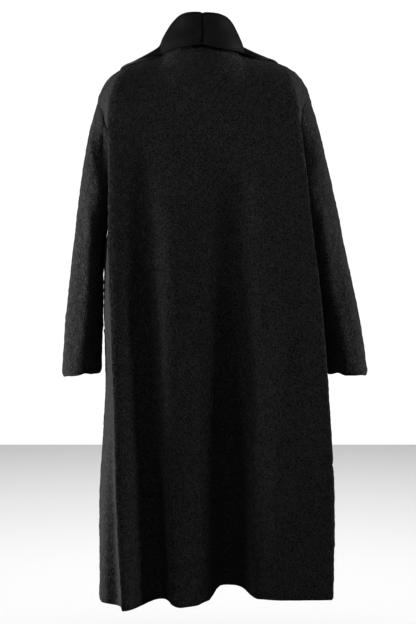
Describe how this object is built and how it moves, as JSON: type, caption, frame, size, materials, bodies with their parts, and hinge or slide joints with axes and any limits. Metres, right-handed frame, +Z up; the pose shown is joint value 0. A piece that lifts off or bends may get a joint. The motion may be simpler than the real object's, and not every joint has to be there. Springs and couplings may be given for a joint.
{
  "type": "long boucle coat",
  "caption": "Long open-fronted boucle coat in its worn shape, with a wide shawl collar, dropped shoulders, straight sleeves and patch pockets.",
  "frame": {"origin": "base of the neck, midway between the shoulders, where the wearer carries the coat", "axes": "+Z up along the wearer, -Y towards the front opening, +X towards the wearer's left"},
  "size_m": [0.676, 0.3028, 1.2683],
  "materials": {
    "boucle": "black boucle, small looped curls, matt",
    "smooth_cloth": "black smooth napped cloth, soft sheen"
  },
  "bodies": {
    "root": {"back": "boucle", "front_left": "boucle", "front_right": "boucle", "sleeve_left": "boucle", "sleeve_right": "boucle", "pocket_left": "boucle", "pocket_right": "boucle", "collar_left": "smooth_cloth", "collar_right": "smooth_cloth"}
  },
  "joints": []
}
